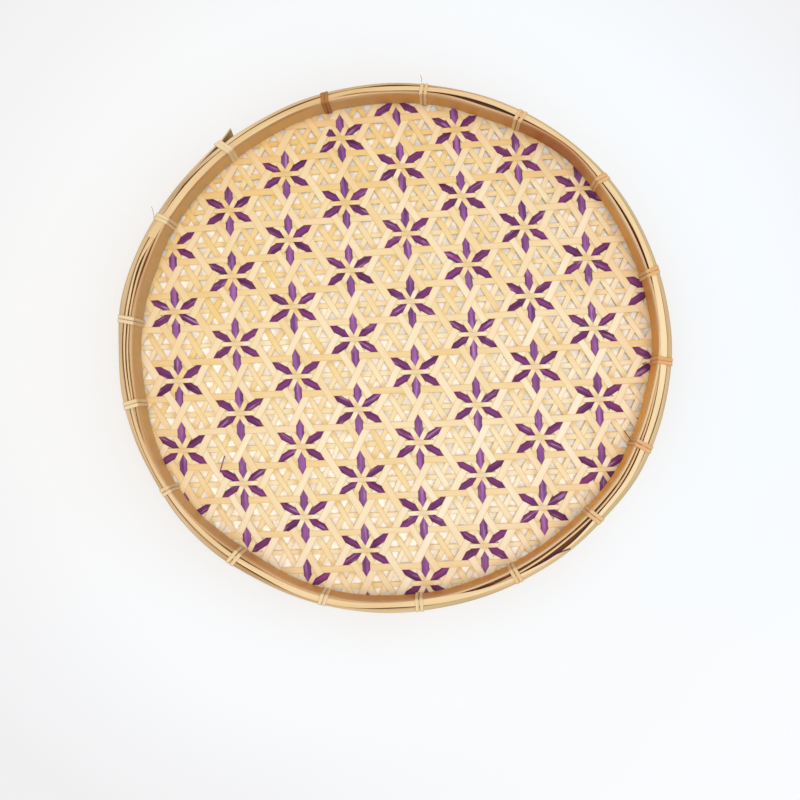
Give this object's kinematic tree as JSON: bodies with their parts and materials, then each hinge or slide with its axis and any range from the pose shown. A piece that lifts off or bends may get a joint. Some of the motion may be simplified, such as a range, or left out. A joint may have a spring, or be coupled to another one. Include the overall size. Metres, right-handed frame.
{
  "type": "hanging wall basket",
  "caption": "Shallow oval bamboo tray for hanging on a wall, with an openwork mat of crossing splints and dyed flower splints clamped between two hoops by tied strips.",
  "frame": {"origin": "middle of the oval, on the plane of the table or wall that the ties' undersides lie against", "axes": "+Z out of the open side, +Y upwards when the basket hangs on a wall, +X along the oval's longer axis"},
  "size_m": [0.4003, 0.3833, 0.0348],
  "materials": {
    "hoop": "bare split bamboo, satin, golden brown",
    "filler": "bare split bamboo, pale, fibrous",
    "wide_splint": "shaved bamboo splint, matt cream",
    "fine_splint": "shaved bamboo splint, matt straw yellow",
    "dyed_splint": "dyed bamboo splint, purple with a soft gloss",
    "tie": "flat bamboo strip, pale, fibrous"
  },
  "bodies": {
    "root": {"outer_hoop": "hoop", "inner_hoop": "hoop", "filler_splint": "filler", "turned_up_edge": "wide_splint", "wide_splints_across": "wide_splint", "wide_splints_rising": "wide_splint", "wide_splints_falling": "wide_splint", "fine_splints_across": "fine_splint", "fine_splints_rising": "fine_splint", "fine_splints_falling": "fine_splint", "dyed_splint_upright_1": "dyed_splint", "dyed_splint_upright_2": "dyed_splint", "dyed_splint_upright_3": "dyed_splint", "dyed_splint_upright_4": "dyed_splint", "dyed_splint_upright_5": "dyed_splint", "dyed_splint_upright_6": "dyed_splint", "dyed_splint_upright_7": "dyed_splint", "dyed_splint_upright_8": "dyed_splint", "dyed_splint_rising_1": "dyed_splint", "dyed_splint_rising_2": "dyed_splint", "dyed_splint_rising_3": "dyed_splint", "dyed_splint_rising_4": "dyed_splint", "dyed_splint_rising_5": "dyed_splint", "dyed_splint_rising_6": "dyed_splint", "dyed_splint_rising_7": "dyed_splint", "dyed_splint_rising_8": "dyed_splint", "dyed_splint_falling_1": "dyed_splint", "dyed_splint_falling_2": "dyed_splint", "dyed_splint_falling_3": "dyed_splint", "dyed_splint_falling_4": "dyed_splint", "dyed_splint_falling_5": "dyed_splint", "dyed_splint_falling_6": "dyed_splint", "dyed_splint_falling_7": "dyed_splint", "dyed_splint_falling_8": "dyed_splint", "tie_01": "tie", "tie_02": "tie", "tie_03": "tie", "tie_04": "tie", "tie_05": "tie", "tie_06": "tie", "tie_07": "tie", "tie_08": "tie", "tie_09": "tie", "tie_10": "tie", "tie_11": "tie", "tie_12": "tie", "tie_13": "tie", "tie_14": "tie", "tie_15": "tie", "tie_16": "tie", "tie_17": "tie"}
  },
  "joints": []
}
